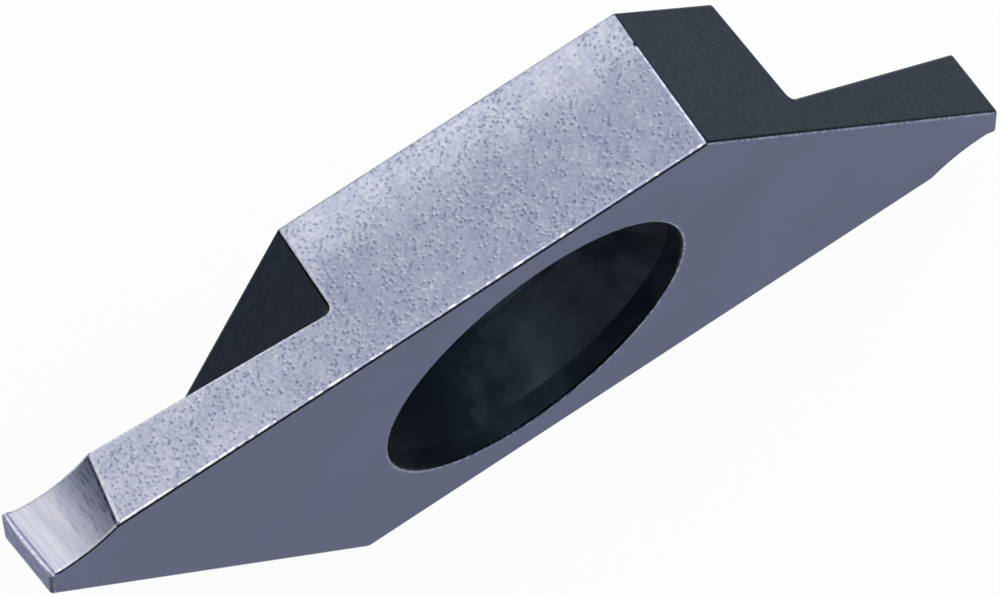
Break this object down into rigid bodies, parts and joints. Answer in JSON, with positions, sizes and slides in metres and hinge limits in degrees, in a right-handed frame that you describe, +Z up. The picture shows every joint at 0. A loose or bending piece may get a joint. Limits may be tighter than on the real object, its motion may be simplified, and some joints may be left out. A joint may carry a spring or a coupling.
{
  "type": "cut-off insert",
  "caption": "Slim double-ended carbide cut-off insert with slanted ends, a narrow stepped blade and hollow chip former at each end, and a countersunk screw hole.",
  "frame": {"origin": "on the axis of the screw hole, half-way through the plate's thickness", "axes": "+X along the long edges, +Y through the thickness from the face flush with the blades to the seat face, +Z up across the plate; it stands on its lower long edge"},
  "size_m": [0.0214, 0.003, 0.0084],
  "materials": {
    "ground_carbide": "fine-ground cemented carbide, satin grey with a blue cast"
  },
  "bodies": {
    "root": {"insert_plate": "ground_carbide"}
  },
  "joints": []
}
